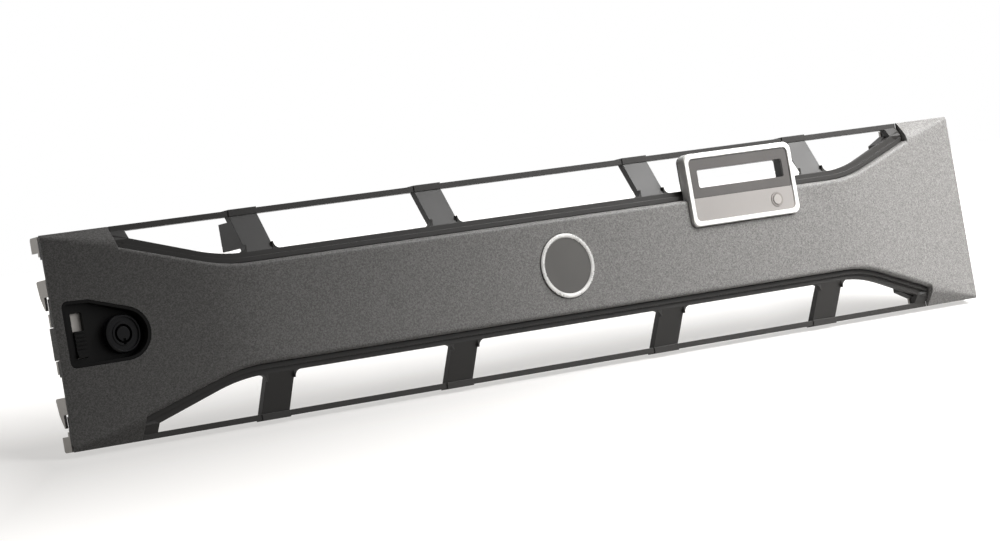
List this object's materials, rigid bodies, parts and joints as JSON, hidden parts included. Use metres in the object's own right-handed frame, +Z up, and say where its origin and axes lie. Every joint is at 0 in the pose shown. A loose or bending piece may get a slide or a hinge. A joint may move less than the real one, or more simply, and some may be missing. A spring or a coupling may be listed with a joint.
{
  "type": "server front bezel",
  "caption": "Long grey server front bezel with sloping ends, black window grille, round badge, white-framed button module, and a sliding latch beside a tubular lock.",
  "frame": {"origin": "mid-length and mid-height of the bezel, on the plane of the two brackets' rear seating faces, which rest on the chassis", "axes": "+X along the bezel to the right as seen from the front, +Y back into the chassis, +Z up; as installed"},
  "size_m": [0.4824, 0.025, 0.0876],
  "materials": {
    "cover_paint": "dark silver grey paint with a fine metallic sparkle on moulded plastic, satin",
    "frame_black": "black moulded plastic, satin",
    "zinc_steel": "zinc-plated sheet steel, pale grey",
    "screw_steel": "zinc-plated steel",
    "spring_steel": "bright spring wire",
    "pocket_black": "black moulded plastic, satin",
    "lock_black": "black plated zinc casting, semi-gloss",
    "badge_rim": "satin silver",
    "badge_face": "dark grey with a soft sheen",
    "module_white": "near-white plastic, satin gloss",
    "module_dark": "dark grey plastic, satin",
    "strip_grey": "light warm grey plastic, satin",
    "button_grey": "light grey plastic",
    "ring_grey": "mid grey plastic",
    "board_green": "green circuit board laminate",
    "switch_black": "black plastic",
    "lamp_white": "white lamp body",
    "contact_gold": "gold-plated brass"
  },
  "bodies": {
    "bezel": {"front_cover": "cover_paint", "grille_frame": "frame_black", "left_bracket": "zinc_steel", "right_bracket": "zinc_steel", "bracket_screws": "screw_steel", "cover_screws": "screw_steel", "lock_pocket": "pocket_black", "latch_spring": "spring_steel", "lock_body": "lock_black", "lock_nut": "screw_steel", "badge_ring": "badge_rim", "badge_plate": "badge_face", "badge_clip": "screw_steel", "module_frame": "module_white", "module_housing": "frame_black", "module_fascia": "module_dark", "module_strip": "strip_grey", "button_ring": "ring_grey", "module_board": "board_green", "button_switch": "switch_black", "button_lamp": "lamp_white", "contact_block": "frame_black", "contact_pins": "contact_gold", "module_screws": "screw_steel"},
    "latch": {"latch_slide": "zinc_steel", "latch_button": "pocket_black"},
    "key_plug": {"lock_plug": "lock_black", "lock_cam": "zinc_steel", "cam_screw": "screw_steel"},
    "round_button": {"module_button": "button_grey"}
  },
  "joints": [
    {"name": "latch_lift", "type": "slide", "parent": "bezel", "child": "latch", "axis": [0, 0, 1], "range_m": [0, 0.007], "stiffness_N_per_m": 600, "springref_m": -0.003, "deforming": ["latch_spring"]},
    {"name": "key_turn", "type": "hinge", "parent": "bezel", "child": "key_plug", "pos_m": [-0.2135, 0, 0], "axis": [0, 1, 0], "range_deg": [0, 90]},
    {"name": "round_button_press", "type": "slide", "parent": "bezel", "child": "round_button", "axis": [0, 1, 0], "range_m": [0, 0.0006], "stiffness_N_per_m": 500, "springref_m": -0.0012}
  ]
}
